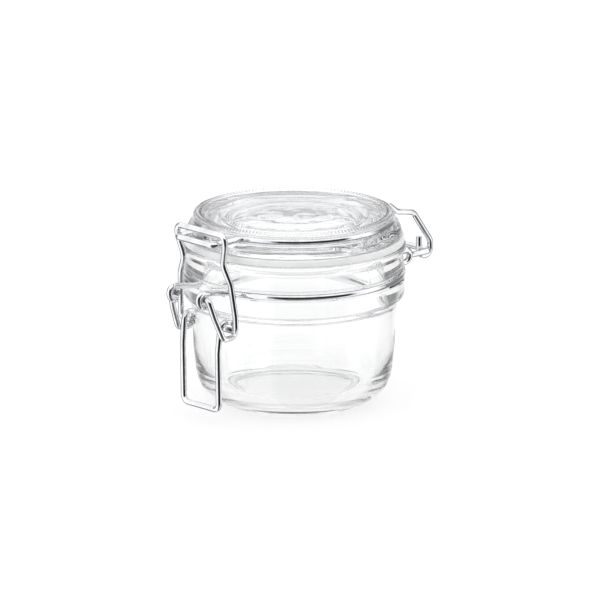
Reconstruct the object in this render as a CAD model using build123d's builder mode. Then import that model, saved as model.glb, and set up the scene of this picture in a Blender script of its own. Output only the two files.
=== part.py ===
"""A small preserving jar with a hinged glass lid and a swing clamp of bent steel wire.

Millimetres, +Z up, the origin at the centre of the base. The clamp is on the -Y side and the
hinge is on the +Y side. The jar and the lid are turned shapes, and every metal piece is one
length of round wire, bent along straight runs and tangent arcs.
"""

import os
from math import asin, cos, degrees, radians, sin

from build123d import *

# ---- driving dimensions ----

WIRE = 2.3  # wire diameter

# jar, as radii about the Z axis and heights above the base
BODY_R = 38.0
FOOT_R = 27.0
WALL = 3.2
FLOOR = 4.5
RIM_R = 41.7
RIM_Z = 60.6
MOUTH_R = 33.6
NECK_Z = 49.3  # height of the groove that holds the neck wire
NECK_WIRE_R = 40.5

# lid and its gasket
GASKET_T = 2.8
GASKET_R = 41.2
SEAT_GAP = 0.05
FLANGE_R = 40.4
LID_TOP = 72.6
LID_WIRE_R = 36.8
LID_WIRE_Z = 69.5
PLUG_R = 30.6
PLUG_Z = 57.0

# hinge
HINGE_Y = 58.6
HINGE_Z = 49.2
HINGE_BAR_HALF = 12.4
HOOK_R = 2.9
HOOK_Z = 49.6  # height of the hooks' bend centre, a little above the bar that they pull on
HOOK_X = 9.2
HOOK_TIP_Z = 54.6
EYE_R = 2.4
EYE_Y = 43.2
EYE_Z = 50.0
EYE_X = 15.1

# clamp
NOSE_X = 10.0
NOSE_Y = -50.2
NOSE_Z = 69.2
FRONT_EYE_X = 7.9
FRONT_EYE_Y = -52.5
FRONT_EYE_Z = 48.8
FRONT_EYE_R = 2.85
LEVER_Y = -52.6  # lever pivot
LEVER_Z = 48.8
COIL_Y = -43.1  # coil in the lever, which is the bail's pivot
COIL_Z = 36.3
COIL_R = 3.0
HANDLE_X = 9.6
HANDLE_Y = -46.8
HANDLE_Z = 5.9
BAIL_X = 12.9
BAIL_Y = -47.0
BAIL_Z = 72.8
PIN_TIP_X = 6.2

RING_CORNERS = 8  # corners of the path along each side of a wire ring
RING_LEAD = 5.0  # degrees between a ring's last arc and its exit bend
BEND = 2.2  # usual bend radius of the wire's centre line

os.makedirs("parts", exist_ok=True)


def ring_side(radius, height, front_x, rear_x):
    """Corners of the +X side of a wire ring, from its front exit round to its rear exit."""
    start = degrees(asin(front_x / radius)) + RING_LEAD
    end = 180 - degrees(asin(rear_x / radius)) - RING_LEAD
    step = (end - start) / RING_CORNERS
    reach = radius / cos(radians(step / 2))

    def leave(angle, exit_x):
        a = radians(angle)
        slide = (exit_x - radius * sin(a)) / cos(a)
        return (exit_x, slide * sin(a) - radius * cos(a), height)

    turns = [radians(start + step * (i + 0.5)) for i in range(RING_CORNERS)]
    corners = [(reach * sin(a), -reach * cos(a), height) for a in turns]
    return [leave(start, front_x)] + corners + [leave(end, rear_x)]


def ring_radii(radius):
    """Bend radii for the corners that ring_side gives."""
    return [BEND] + [0.985 * radius] * RING_CORNERS + [BEND]


def mirrored(points):
    """The same points on the -X side, in reverse order."""
    return [(-x, y, z) for x, y, z in reversed(points)]


def both_sides(half, half_radii):
    """A path along half and back along its mirror image, and the bend radii of its corners."""
    return half + mirrored(half), half_radii + half_radii[::-1]


def draw_wire(points, bend_radii):
    """Bend the wire along points in the part that is being built."""
    with BuildLine() as path:
        FilletPolyline(*points, radius=bend_radii)
    with BuildSketch(Plane(path.line @ 0, z_dir=path.line % 0)) as section:
        Circle(WIRE / 2)
    sweep(section.sketch, path=path.line)


def save(part, name):
    part.label = name
    export_step(part, f"parts/{name}.step")


# ---- glass jar: a turned wall with a beaded neck and a flat rim ----

with BuildPart() as glass_jar:
    with BuildSketch(Plane.XZ):
        with BuildLine():
            Line((0, 0), (FOOT_R, 0))
            ThreePointArc((FOOT_R, 0), (34.6, 5.0), (36.8, 13.5))
            Spline((36.8, 13.5), (37.7, 22.0), (BODY_R, 32.0), (BODY_R + 0.5, 38.5))
            Polyline(
                (BODY_R + 0.5, 38.5),
                (RIM_R - 0.7, 40.9),
                (RIM_R - 0.3, 42.0),
                (RIM_R - 0.3, 46.6),
                (RIM_R - 0.7, 47.5),
                (NECK_WIRE_R - 1.4, NECK_Z - 1.3),
                (NECK_WIRE_R - 1.4, NECK_Z + 1.3),
                (RIM_R - 0.7, 51.6),
                (RIM_R - 1.0, 56.8),
                (RIM_R, 58.7),
                (RIM_R, RIM_Z),
                (MOUTH_R, RIM_Z),
                (MOUTH_R, 47.0),
                (BODY_R - WALL, 38.0),
                (BODY_R - WALL, 16.0),
            )
            ThreePointArc((BODY_R - WALL, 16.0), (31.6, 7.9), (25.5, FLOOR))
            Polyline((25.5, FLOOR), (0, FLOOR), (0, 0))
        make_face()
    revolve(axis=Axis.Z)
    rim_edges = glass_jar.edges().filter_by(GeomType.CIRCLE).group_by(Axis.Z)[-1]
    fillet(rim_edges, radius=0.6)
save(glass_jar.part, "glass_jar")

# ---- gasket: a flat rubber ring between the rim and the lid's flange ----

with BuildPart() as gasket:
    with BuildSketch(Plane.XY.offset(RIM_Z + SEAT_GAP)):
        Circle(GASKET_R)
        Circle(MOUTH_R + 0.6, mode=Mode.SUBTRACT)
    extrude(amount=GASKET_T)
    fillet(gasket.edges().filter_by(GeomType.CIRCLE), radius=0.7)
save(gasket.part, "gasket")

# ---- glass lid: a plug that drops into the mouth, a flange, a wire groove and a top disc ----

FLANGE_Z = RIM_Z + SEAT_GAP + GASKET_T

with BuildPart() as glass_lid:
    with BuildSketch(Plane.XZ):
        with BuildLine():
            Polyline(
                (0, 66.8),
                (25.0, 66.8),
                (27.4, PLUG_Z),
                (PLUG_R, PLUG_Z),
                (PLUG_R + 2.2, FLANGE_Z),
                (FLANGE_R, FLANGE_Z),
                (FLANGE_R - 0.5, 66.2),
                (FLANGE_R - 1.4, LID_WIRE_Z - 1.3),
                (LID_WIRE_R - 1.4, LID_WIRE_Z - 1.3),
                (LID_WIRE_R - 1.4, LID_WIRE_Z + 1.3),
                (LID_WIRE_R + 0.8, LID_WIRE_Z + 1.3),
                (LID_WIRE_R + 0.8, LID_TOP - 0.9),
                (LID_WIRE_R - 0.3, LID_TOP),
                (LID_WIRE_R - 2.2, LID_TOP),
                (32.6, 70.8),
                (28.6, 70.8),
                (27.4, 72.2),
                (0, 72.2),
                (0, 66.8),
            )
        make_face()
    revolve(axis=Axis.Z)
save(glass_lid.part, "glass_lid")

# ---- lid wire: hooks on the hinge bar, a ring in the lid's groove and a nose over the clamp ----

lid_half = [
    (HOOK_X, HINGE_Y - HOOK_R, HOOK_TIP_Z),
    (HOOK_X, HINGE_Y - HOOK_R, HOOK_Z - HOOK_R),
    (HOOK_X, HINGE_Y + HOOK_R, HOOK_Z - HOOK_R),
    (HOOK_X, HINGE_Y + HOOK_R, HOOK_Z + 2.7),
    (HOOK_X, 52.6, 64.5),
    (HOOK_X, 44.0, 66.2),
    (HOOK_X, 40.0, LID_WIRE_Z - 0.2),
]
lid_half += ring_side(LID_WIRE_R, LID_WIRE_Z, NOSE_X, HOOK_X)[::-1]
lid_half += [(NOSE_X, NOSE_Y, NOSE_Z)]
lid_radii = [HOOK_R - 0.05, HOOK_R - 0.05, 4.0, 4.0, 5.0, 3.0] + ring_radii(LID_WIRE_R) + [BEND]

with BuildPart() as lid_wire:
    draw_wire(*both_sides(lid_half, lid_radii))
save(lid_wire.part, "lid_wire")

# ---- neck wire: front eyes for the lever, a ring round the neck, rear eyes and the hinge bar ----

eye_top = EYE_Z + EYE_R
eye_low = EYE_Z - EYE_R
eye_pitch = (EYE_X - HINGE_BAR_HALF) / 5
neck_half = [
    (FRONT_EYE_X, FRONT_EYE_Y + 0.6, FRONT_EYE_Z - FRONT_EYE_R),
    (FRONT_EYE_X, FRONT_EYE_Y - FRONT_EYE_R, FRONT_EYE_Z - FRONT_EYE_R),
    (FRONT_EYE_X, FRONT_EYE_Y - FRONT_EYE_R, FRONT_EYE_Z + FRONT_EYE_R),
]
neck_half += ring_side(NECK_WIRE_R, NECK_Z, FRONT_EYE_X, EYE_X)
neck_half += [
    (EYE_X, EYE_Y - 2.0, eye_top),
    (EYE_X - 0.2, EYE_Y + EYE_R, eye_top),
    (EYE_X - 0.2 - eye_pitch, EYE_Y + EYE_R, eye_low),
    (EYE_X - 0.2 - 2 * eye_pitch, EYE_Y - EYE_R, eye_low),
    (EYE_X - 0.2 - 4 * eye_pitch, EYE_Y - EYE_R, eye_top),
    (HINGE_BAR_HALF, EYE_Y + 1.2, eye_top),
    (HINGE_BAR_HALF, EYE_Y + 5.6, HINGE_Z),
    (HINGE_BAR_HALF, HINGE_Y, HINGE_Z),
]
neck_radii = [FRONT_EYE_R - 0.05, FRONT_EYE_R - 0.45] + ring_radii(NECK_WIRE_R)
neck_radii += [1.5, EYE_R - 0.1, EYE_R - 0.1, EYE_R - 0.1, EYE_R - 0.1, 2.4, 3.0, BEND]

with BuildPart() as neck_wire:
    draw_wire(*both_sides(neck_half, neck_radii))
save(neck_wire.part, "neck_wire")

# ---- lever: pins in the neck wire's eyes, arms down to a coil on each side, then the handle ----

coil_out = COIL_Y - COIL_R
coil_in = COIL_Y + COIL_R
lever_half = [
    (PIN_TIP_X, LEVER_Y, LEVER_Z),
    (10.5, LEVER_Y, LEVER_Z),
    (11.3, -50.5, 42.0),
    (12.3, coil_out - 0.9, COIL_Z - COIL_R),
    (11.7, coil_in, COIL_Z - COIL_R),
    (10.8, coil_in, COIL_Z + COIL_R),
    (9.9, coil_out, COIL_Z + COIL_R),
    (HANDLE_X, HANDLE_Y - 0.4, COIL_Z - 8.5),
    (HANDLE_X, HANDLE_Y, HANDLE_Z),
]
lever_radii = [1.8, 8.0, COIL_R - 0.1, COIL_R - 0.1, COIL_R - 0.1, COIL_R - 0.1, 8.0, 2.6]

with BuildPart() as lever:
    draw_wire(*both_sides(lever_half, lever_radii))
save(lever.part, "lever")

# ---- bail: pins through the lever's coils, waisted legs, and the bar that holds the nose down ----

bail_half = [
    (PIN_TIP_X, COIL_Y, COIL_Z),
    (15.0, COIL_Y, COIL_Z),
    (14.9, COIL_Y - 0.2, 42.0),
    (13.7, -44.5, 54.0),
    (10.6, -45.5, 61.0),
    (BAIL_X, -46.6, 68.8),
    (BAIL_X, BAIL_Y, BAIL_Z),
]
bail_radii = [1.8, 12.0, 8.0, 6.0, 5.0, 2.3]

with BuildPart() as bail:
    draw_wire(*both_sides(bail_half, bail_radii))
save(bail.part, "bail")
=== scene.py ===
"""Lidded glass canister: the looks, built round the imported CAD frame, in metres."""

import math

import bpy
from mathutils import Matrix, Vector


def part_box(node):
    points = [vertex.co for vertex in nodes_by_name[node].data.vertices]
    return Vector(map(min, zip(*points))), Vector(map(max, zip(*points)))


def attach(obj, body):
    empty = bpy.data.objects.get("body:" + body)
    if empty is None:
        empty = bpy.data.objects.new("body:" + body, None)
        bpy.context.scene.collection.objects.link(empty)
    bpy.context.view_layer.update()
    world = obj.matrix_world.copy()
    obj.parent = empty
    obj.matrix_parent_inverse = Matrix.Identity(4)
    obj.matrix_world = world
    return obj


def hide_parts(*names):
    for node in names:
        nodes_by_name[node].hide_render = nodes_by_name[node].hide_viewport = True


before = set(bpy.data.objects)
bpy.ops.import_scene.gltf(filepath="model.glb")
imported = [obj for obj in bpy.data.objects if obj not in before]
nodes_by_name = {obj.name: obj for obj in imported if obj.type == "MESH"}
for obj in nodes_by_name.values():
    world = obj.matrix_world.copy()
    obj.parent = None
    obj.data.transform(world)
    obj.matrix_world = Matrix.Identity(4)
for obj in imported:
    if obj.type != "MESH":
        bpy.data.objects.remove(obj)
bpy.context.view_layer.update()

MM = 0.001
scene = bpy.context.scene

# ---- camera: on the clamp's side, a little above the lid ----

AZIMUTH = math.radians(47.0)
ELEVATION = math.radians(14.6)
DISTANCE = 3.0
LENS = 482.6
SENSOR = 36.0
AIM_HEIGHT = 37.97 * MM
AIM_RIGHT = 2.24 * MM

right = Vector((math.cos(AZIMUTH), math.sin(AZIMUTH), 0.0))
back = Vector((
    math.sin(AZIMUTH) * math.cos(ELEVATION),
    -math.cos(AZIMUTH) * math.cos(ELEVATION),
    math.sin(ELEVATION),
))
up = back.cross(right)

camera_data = bpy.data.cameras.new("camera")
camera_data.lens = LENS
camera_data.sensor_width = SENSOR
camera_data.clip_end = 50.0
camera = bpy.data.objects.new("camera", camera_data)
scene.collection.objects.link(camera)
aim = Vector((0.0, 0.0, AIM_HEIGHT)) + right * AIM_RIGHT
turn = Matrix((right, up, back)).transposed().to_4x4()
camera.matrix_world = Matrix.Translation(aim + back * DISTANCE) @ turn
scene.camera = camera

scene.view_settings.view_transform = "Standard"
scene.view_settings.look = "None"
scene.cycles.max_bounces = 28
scene.cycles.transmission_bounces = 28
scene.cycles.glossy_bounces = 12
scene.cycles.transparent_max_bounces = 12
scene.cycles.diffuse_bounces = 4


# ---- materials ----


def new_material(name):
    """A node material, with its node tree and its Principled shader."""
    material = bpy.data.materials.new(name)
    material.use_nodes = True
    tree = material.node_tree
    shader = next(n for n in tree.nodes if n.type == "BSDF_PRINCIPLED")
    return material, tree, shader


def add_noise(tree, scale, detail=3.0, stretch=(1.0, 1.0, 1.0)):
    """Noise in the piece's own coordinates, at so many features per metre."""
    place = tree.nodes.new("ShaderNodeTexCoord")
    mapping = tree.nodes.new("ShaderNodeMapping")
    mapping.inputs["Scale"].default_value = stretch
    noise = tree.nodes.new("ShaderNodeTexNoise")
    noise.inputs["Scale"].default_value = scale
    noise.inputs["Detail"].default_value = detail
    tree.links.new(place.outputs["Object"], mapping.inputs["Vector"])
    tree.links.new(mapping.outputs["Vector"], noise.inputs["Vector"])
    return noise.outputs["Fac"]


def add_bump(tree, shader, height, strength, distance):
    """Bump on the shader, from a height that goes from 0 to 1 over so many metres."""
    bump = tree.nodes.new("ShaderNodeBump")
    bump.inputs["Strength"].default_value = strength
    bump.inputs["Distance"].default_value = distance
    tree.links.new(height, bump.inputs["Height"])
    tree.links.new(bump.outputs["Normal"], shader.inputs["Normal"])


NOISE_LOW, NOISE_HIGH = 0.3, 0.7  # the part of 0 to 1 that noise mostly fills


def add_range(tree, value, low, high):
    """Noise stretched to go from low to high."""
    spread = tree.nodes.new("ShaderNodeMapRange")
    spread.inputs["From Min"].default_value = NOISE_LOW
    spread.inputs["From Max"].default_value = NOISE_HIGH
    spread.inputs["To Min"].default_value = low
    spread.inputs["To Max"].default_value = high
    tree.links.new(value, spread.inputs["Value"])
    return spread.outputs["Result"]


def add_ramp(tree, value, stops):
    """Colour by value, from stops (position, colour) in rising order."""
    ramp = tree.nodes.new("ShaderNodeValToRGB")
    points = ramp.color_ramp.elements
    for i, (position, color) in enumerate(stops):
        point = points[i] if i < 2 else points.new(position)
        point.position = position
        point.color = (*color, 1.0)
    tree.links.new(value, ramp.inputs["Fac"])
    return ramp.outputs["Color"]


JAR_ABSORPTION = 1.6  # per metre
LID_ABSORPTION = 3.0  # more, so that the thick edge of the lid looks darker than the wall
JAR_RIPPLES, JAR_RIPPLE_DEPTH = 26.0, 0.00022  # per metre, and metres
LID_RIPPLES, LID_RIPPLE_DEPTH = 70.0, 0.0006
GLASS_IOR = 1.5


def make_glass(name, ripple_scale, ripple_depth, absorption):
    """Clear pressed glass, with the slow waviness that the mould leaves."""
    material, tree, shader = new_material(name)
    shader.inputs["Base Color"].default_value = (0.998, 1.0, 1.0, 1.0)
    shader.inputs["Transmission Weight"].default_value = 1.0
    shader.inputs["IOR"].default_value = GLASS_IOR
    shader.inputs["Roughness"].default_value = 0.0
    height = add_noise(tree, ripple_scale, 2.0, (1.0, 1.0, 0.5))
    add_bump(tree, shader, height, 0.5, ripple_depth)
    absorb = tree.nodes.new("ShaderNodeVolumeAbsorption")
    absorb.inputs["Color"].default_value = (0.46, 0.47, 0.475, 1.0)
    absorb.inputs["Density"].default_value = absorption
    output = next(n for n in tree.nodes if n.type == "OUTPUT_MATERIAL")
    tree.links.new(absorb.outputs["Volume"], output.inputs["Volume"])
    return material


def make_steel():
    """Bright drawn steel wire: faint die lines and handling marks."""
    material, tree, shader = new_material("steel_wire")
    shader.inputs["Metallic"].default_value = 1.0
    tone = add_noise(tree, 260.0, 4.0)
    color = add_ramp(tree, tone, [
        (0.25, (0.64, 0.645, 0.655)), (0.75, (0.86, 0.865, 0.87)),
    ])
    tree.links.new(color, shader.inputs["Base Color"])
    fine = add_noise(tree, 2400.0, 3.0, (1.0, 1.0, 0.12))
    tree.links.new(add_range(tree, fine, 0.05, 0.13), shader.inputs["Roughness"])
    add_bump(tree, shader, fine, 0.25, 0.00002)
    return material


def make_rubber():
    """Off-white gasket rubber, a little translucent."""
    material, tree, shader = new_material("gasket_rubber")
    tone = add_noise(tree, 220.0, 4.0)
    color = add_ramp(tree, tone, [
        (0.3, (0.87, 0.875, 0.87)), (0.7, (0.92, 0.925, 0.92)),
    ])
    tree.links.new(color, shader.inputs["Base Color"])
    fine = add_noise(tree, 1800.0, 2.0)
    tree.links.new(add_range(tree, fine, 0.38, 0.55), shader.inputs["Roughness"])
    shader.inputs["Subsurface Weight"].default_value = 0.35
    shader.inputs["Subsurface Radius"].default_value = (0.002, 0.002, 0.002)
    add_bump(tree, shader, fine, 0.3, 0.00004)
    return material


jar_glass = make_glass("jar_glass", JAR_RIPPLES, JAR_RIPPLE_DEPTH, JAR_ABSORPTION)
lid_glass = make_glass("lid_glass", LID_RIPPLES, LID_RIPPLE_DEPTH, LID_ABSORPTION)
steel = make_steel()
rubber = make_rubber()

# ---- turned meshes ----

ARC_STEP = math.radians(16.0)
ARC_STEPS_MOST = 5
NEARLY_STRAIGHT = math.radians(89.0)  # half the angle at a corner
CUT_MOST = 0.48  # share of a run that one fillet may take
CREST_INNER_R = 30.0
FAR_ABOVE = 1e9
ON_AXIS = 1e-6


def rounded(corners):
    """Points (r, z) with each corner (r, z, fillet) rounded to its fillet radius."""
    count = len(corners)
    points = []
    for i, (r, z, fillet) in enumerate(corners):
        here = Vector((r, z))
        if fillet <= 0 or i in (0, count - 1):
            points.append((r, z))
            continue
        before = Vector(corners[i - 1][:2]) - here
        after = Vector(corners[i + 1][:2]) - here
        half = before.angle(after) / 2
        if half > NEARLY_STRAIGHT:
            points.append((r, z))
            continue
        cut = min(
            fillet / math.tan(half), CUT_MOST * before.length, CUT_MOST * after.length
        )
        first = here + before.normalized() * cut
        last = here + after.normalized() * cut
        steps = max(1, min(ARC_STEPS_MOST, math.ceil((math.pi - 2 * half) / ARC_STEP)))
        for step in range(steps + 1):
            t = step / steps
            point = first * (1 - t) ** 2 + here * (2 * t * (1 - t)) + last * t**2
            points.append((point.x, point.y))
    return points


def subdivided(points, longest, fine_from=FAR_ABOVE, fine=0.3):
    """The same outline with no run longer than longest, or than fine on a crest.

    A crest is what lies above the height fine_from and outside CREST_INNER_R.
    """
    out = [points[0]]
    for (r0, z0), (r1, z1) in zip(points, points[1:]):
        on_crest = max(z0, z1) > fine_from and min(r0, r1) > CREST_INNER_R
        limit = fine if on_crest else longest
        parts = max(1, math.ceil(math.hypot(r1 - r0, z1 - z0) / limit))
        for k in range(1, parts + 1):
            t = k / parts
            out.append((r0 + (r1 - r0) * t, z0 + (z1 - z0) * t))
    return out


def turned(name, outline, segments, closed=False, shift=None):
    """A turned mesh from an outline (r, z) in mm, which is closed or ends on the axis.

    shift gives how far each point moves in r and in z, from its r, z and angle.
    """
    verts, faces, rings = [], [], []
    for r, z in outline:
        if r < ON_AXIS:
            rings.append([len(verts)])
            verts.append((0.0, 0.0, z * MM))
            continue
        ring = []
        for s in range(segments):
            angle = 2 * math.pi * s / segments
            dr, dz = shift(r, z, angle) if shift else (0.0, 0.0)
            ring.append(len(verts))
            verts.append((
                (r + dr) * math.sin(angle) * MM,
                -(r + dr) * math.cos(angle) * MM,
                (z + dz) * MM,
            ))
        rings.append(ring)
    pairs = list(zip(rings, rings[1:]))
    if closed:
        pairs.append((rings[-1], rings[0]))
    for low, high in pairs:
        for s in range(segments):
            n = (s + 1) % segments
            if len(low) == 1:
                faces.append((low[0], high[n], high[s]))
            elif len(high) == 1:
                faces.append((low[s], low[n], high[0]))
            else:
                faces.append((low[s], low[n], high[n], high[s]))
    mesh = bpy.data.meshes.new(name)
    mesh.from_pydata(verts, [], faces)
    mesh.shade_smooth()
    mesh.update()
    piece = bpy.data.objects.new(name, mesh)
    scene.collection.objects.link(piece)
    return piece


def finish_piece(piece, material, body, node):
    """The piece's material and slot, the body it rides and the CAD node it replaces."""
    piece.data.materials.append(material)
    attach(piece, body)
    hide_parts(node)


def bead(value, center, width):
    """1 at the centre of a band and 0 at its edges, with a smooth crown."""
    away = abs(value - center) / width
    return 0.0 if away >= 1 else 0.5 + 0.5 * math.cos(math.pi * away)


# jar: the mould's seam shows on both sides of the neck, and the foot is a stippled ring

JAR_SEGMENTS = 800
LID_SEGMENTS = 960
GASKET_SEGMENTS = 360
JAR_RUN, LID_RUN = 7.0, 8.0  # the longest runs of the outlines, in mm
STIPPLES = 160
SEAM_HEIGHT = 0.1
SEAM_HALF_WIDTH = math.radians(0.55)
SEAM_FROM_R = 38.0
SEAM_LOW, SEAM_HIGH = 51.4, 57.2
FOOT_TOP = 1.0
FOOT_STIPPLE_R, FOOT_STIPPLE_HALF_WIDTH = 25.0, 1.8
FOOT_STIPPLE_DEPTH = 0.29

jar_corners = [
    (0, 1.6, 0), (20.0, 1.6, 4), (22.9, 1.4, 1.0), (23.6, 0.3, 0.4), (24.3, 0.3, 0),
    (25.0, 0.3, 0), (25.7, 0.3, 0), (26.3, 0.3, 0.4), (26.9, 1.7, 0.5), (30.4, 2.0, 4),
    (34.4, 5.3, 6), (36.25, 9.8, 8), (36.85, 14.0, 14), (37.65, 22.0, 20), (38.0, 32.0, 14),
    (38.45, 38.5, 3.0), (41.0, 40.8, 1.6), (41.25, 42.0, 0.6), (41.25, 46.5, 0.8),
    (40.9, 47.4, 0.5), (39.15, 48.1, 0.3), (39.15, 50.5, 0.3), (40.9, 51.5, 0.6),
    (40.65, 56.8, 0.9), (41.65, 58.7, 0.6), (41.65, 60.55, 0.9), (33.65, 60.55, 0.8),
    (33.65, 47.0, 6), (34.8, 38.0, 12), (34.75, 28.0, 40), (34.2, 19.0, 30),
    (32.9, 12.6, 14), (30.5, 8.2, 9), (26.2, 5.4, 9), (19.0, 4.5, 30), (0, 4.5, 0),
]


def jar_shift(r, z, angle):
    """The moulded detail that isn't turned: seam lines outside and stipples under the foot."""
    dr = 0.0
    if r > SEAM_FROM_R and SEAM_LOW < z < SEAM_HIGH:
        for side in (0.5 * math.pi, 1.5 * math.pi):
            dr += SEAM_HEIGHT * bead(angle, side, SEAM_HALF_WIDTH)
    if z > FOOT_TOP:
        return dr, 0.0
    wave = max(0.0, math.cos(STIPPLES * angle))
    ring = bead(r, FOOT_STIPPLE_R, FOOT_STIPPLE_HALF_WIDTH)
    return dr, -FOOT_STIPPLE_DEPTH * wave * ring


jar_outline = subdivided(rounded(jar_corners), JAR_RUN)
jar = turned("jar_glass_body", jar_outline, JAR_SEGMENTS, shift=jar_shift)
finish_piece(jar, jar_glass, "jar", "glass_jar")

# lid: two rows of stipples on the crest round the panel

CREST_FROM_Z = 71.9
CREST_RUN = 0.3
STIPPLE_FROM_Z, STIPPLE_FROM_R = 71.5, 33.0
STIPPLE_HEIGHT = 0.46
STIPPLE_SHARPNESS = 0.6
OUTER_ROW_R, OUTER_ROW_HALF_WIDTH = 36.4, 0.8
INNER_ROW_R, INNER_ROW_HALF_WIDTH = 34.9, 0.7

lid_corners = [
    (0, 66.9, 0), (17.0, 66.9, 9), (25.3, 64.2, 6), (27.7, 57.1, 1.2), (30.5, 57.1, 1.2),
    (32.7, 63.3, 0.5), (32.9, 63.5, 0.2), (40.3, 63.5, 0.7), (39.9, 66.2, 1.2),
    (38.95, 68.15, 0.7),
    (35.45, 68.25, 0.5), (35.45, 70.75, 0.5), (37.55, 70.85, 0.5), (37.55, 71.7, 0.7),
    (36.6, 72.1, 0.6), (34.6, 72.1, 0.6), (32.6, 70.85, 1.2), (28.2, 70.85, 0.6),
    (27.4, 72.1, 0.35), (0, 72.15, 0),
]


def stipple_row(angle, phase):
    """The height of a row of stipples, from 0 between them to 1 on each."""
    return max(0.0, math.cos(STIPPLES * angle + phase)) ** STIPPLE_SHARPNESS


def lid_shift(r, z, angle):
    """The two rows of stipples, where each sits beside the gaps of the other."""
    if z < STIPPLE_FROM_Z or r < STIPPLE_FROM_R:
        return 0.0, 0.0
    outer_row = stipple_row(angle, 0.0) * bead(r, OUTER_ROW_R, OUTER_ROW_HALF_WIDTH)
    inner_row = stipple_row(angle, math.pi) * bead(r, INNER_ROW_R, INNER_ROW_HALF_WIDTH)
    return 0.0, STIPPLE_HEIGHT * (outer_row + inner_row)


lid_outline = subdivided(rounded(lid_corners), LID_RUN, CREST_FROM_Z, CREST_RUN)
lid = turned("lid_glass_body", lid_outline, LID_SEGMENTS, shift=lid_shift)
finish_piece(lid, lid_glass, "lid", "glass_lid")

# gasket: a ring of rubber with rounded edges, from the CAD node's own box

GASKET_INNER_R = 34.25
GASKET_CLEARANCE = 0.02

gasket_low, gasket_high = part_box("gasket")
inner = GASKET_INNER_R
outer = gasket_high[0] / MM - GASKET_CLEARANCE
low, high = gasket_low[2] / MM, gasket_high[2] / MM
gasket_outline = rounded([
    (inner, (low + high) / 2, 0), (inner, low, 0.7), (outer, low, 0.8),
    (outer, high, 0.8), (inner, high, 0.7), (inner, (low + high) / 2, 0),
])[:-1]
gasket = turned("gasket_ring", gasket_outline, GASKET_SEGMENTS, closed=True)
finish_piece(gasket, rubber, "lid", "gasket")

# the wires keep their CAD shapes
for name in ("lid_wire", "neck_wire", "lever", "bail"):
    piece = nodes_by_name[name]
    for slot in piece.material_slots:
        slot.material = steel

# ---- floor and light ----

ROOM_STRENGTH = 1.3
FRONT_DARK_TURN = 20.0  # degrees to the right of the camera
FLOOR_HALF = 12.0
FLOOR_DROP = 0.0002  # so that the jar's foot doesn't touch it
FLOOR_TONE = 0.22  # low, with light of its own, like a light table
FLOOR_GLOW = 0.80
FLOOR_ROUGHNESS = 0.9
FLOOR_SPECULAR = 0.1

floor_mesh = bpy.data.meshes.new("floor")
floor_mesh.from_pydata(
    [(x * FLOOR_HALF, y * FLOOR_HALF, 0.0) for x, y in ((-1, -1), (1, -1), (1, 1), (-1, 1))],
    [], [(0, 1, 2, 3)],
)
floor = bpy.data.objects.new("floor", floor_mesh)
scene.collection.objects.link(floor)
floor.location.z = -FLOOR_DROP
floor_material, floor_tree, floor_shader = new_material("floor_paper")
floor_shader.inputs["Base Color"].default_value = (FLOOR_TONE, FLOOR_TONE, FLOOR_TONE, 1.0)
floor_shader.inputs["Emission Color"].default_value = (1.0, 1.0, 1.0, 1.0)
floor_shader.inputs["Emission Strength"].default_value = FLOOR_GLOW
floor_shader.inputs["Roughness"].default_value = FLOOR_ROUGHNESS
floor_shader.inputs["Specular IOR Level"].default_value = FLOOR_SPECULAR
floor_mesh.materials.append(floor_material)
floor.visible_glossy = False  # the wires reflect the room, which is dark in front of them

# the room, by direction: bright on the camera's half but for a dark gap in front, dim on
# the far half, and bright overhead
world = bpy.data.worlds.new("studio")
scene.world = world
world.use_nodes = True
tree = world.node_tree
background = next(n for n in tree.nodes if n.type == "BACKGROUND")


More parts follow.
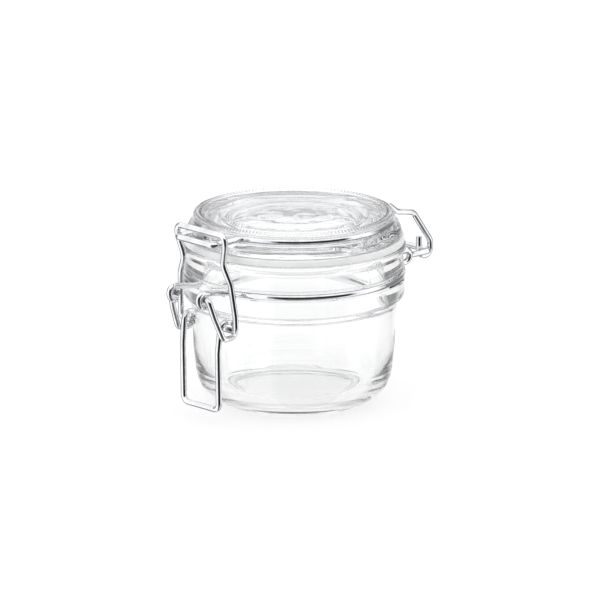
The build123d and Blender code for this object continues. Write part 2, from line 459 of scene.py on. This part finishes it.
def vector_node(operation, source, value=None):
    """A vector maths node in the room's tree, with a fixed second vector if it has one."""
    node = tree.nodes.new("ShaderNodeVectorMath")
    node.operation = operation
    tree.links.new(source, node.inputs[0])
    if value is not None:
        node.inputs[1].default_value = value
    return node


BLUE_TINT = 1.01


def gray(level):
    """Nearly neutral light, a trace cooler than white."""
    return (level, level, level * BLUE_TINT)


direction = tree.nodes.new("ShaderNodeTexCoord").outputs["Generated"]
level_part = vector_node("MULTIPLY", direction, (1.0, 1.0, 0.0)).outputs["Vector"]
compass = vector_node("NORMALIZE", level_part).outputs["Vector"]


def unit_range(value):
    """A value from -1 to 1, as one from 0 to 1."""
    spread = tree.nodes.new("ShaderNodeMapRange")
    spread.inputs["From Min"].default_value = -1.0
    spread.inputs["From Max"].default_value = 1.0
    tree.links.new(value, spread.inputs["Value"])
    return spread.outputs["Result"]


def facing(offset_degrees):
    """How far a direction points to the camera's side, turned to the right by an offset."""
    angle = AZIMUTH + math.radians(offset_degrees)
    toward = (math.sin(angle), -math.cos(angle), 0.0)
    return unit_range(vector_node("DOT_PRODUCT", compass, toward).outputs["Value"])


height = vector_node("DOT_PRODUCT", direction, (0.0, 0.0, 1.0)).outputs["Value"]

around = add_ramp(tree, facing(0.0), [
    (0.0, gray(0.68)), (0.03, gray(0.68)), (0.08, gray(0.24)), (0.30, gray(0.2)),
    (0.42, gray(1.0)),
])
in_front = add_ramp(tree, facing(FRONT_DARK_TURN), [
    (0.0, gray(1.0)), (0.82, gray(1.0)), (0.885, gray(0.015)),
])
upward = add_ramp(tree, unit_range(height), [
    (0.0, gray(0.12)), (0.22, gray(0.12)), (0.36, gray(0.0)), (0.70, gray(0.0)),
    (0.80, gray(1.0)),
])


def mix(blend_type, first, second):
    """Two colours of the room's tree, blended in full."""
    node = tree.nodes.new("ShaderNodeMix")
    node.data_type = "RGBA"
    node.blend_type = blend_type
    node.inputs["Factor"].default_value = 1.0
    tree.links.new(first, node.inputs["A"])
    tree.links.new(second, node.inputs["B"])
    return node.outputs["Result"]


sides = mix("MULTIPLY", around, in_front)
tree.links.new(mix("LIGHTEN", sides, upward), background.inputs["Color"])
background.inputs["Strength"].default_value = ROOM_STRENGTH
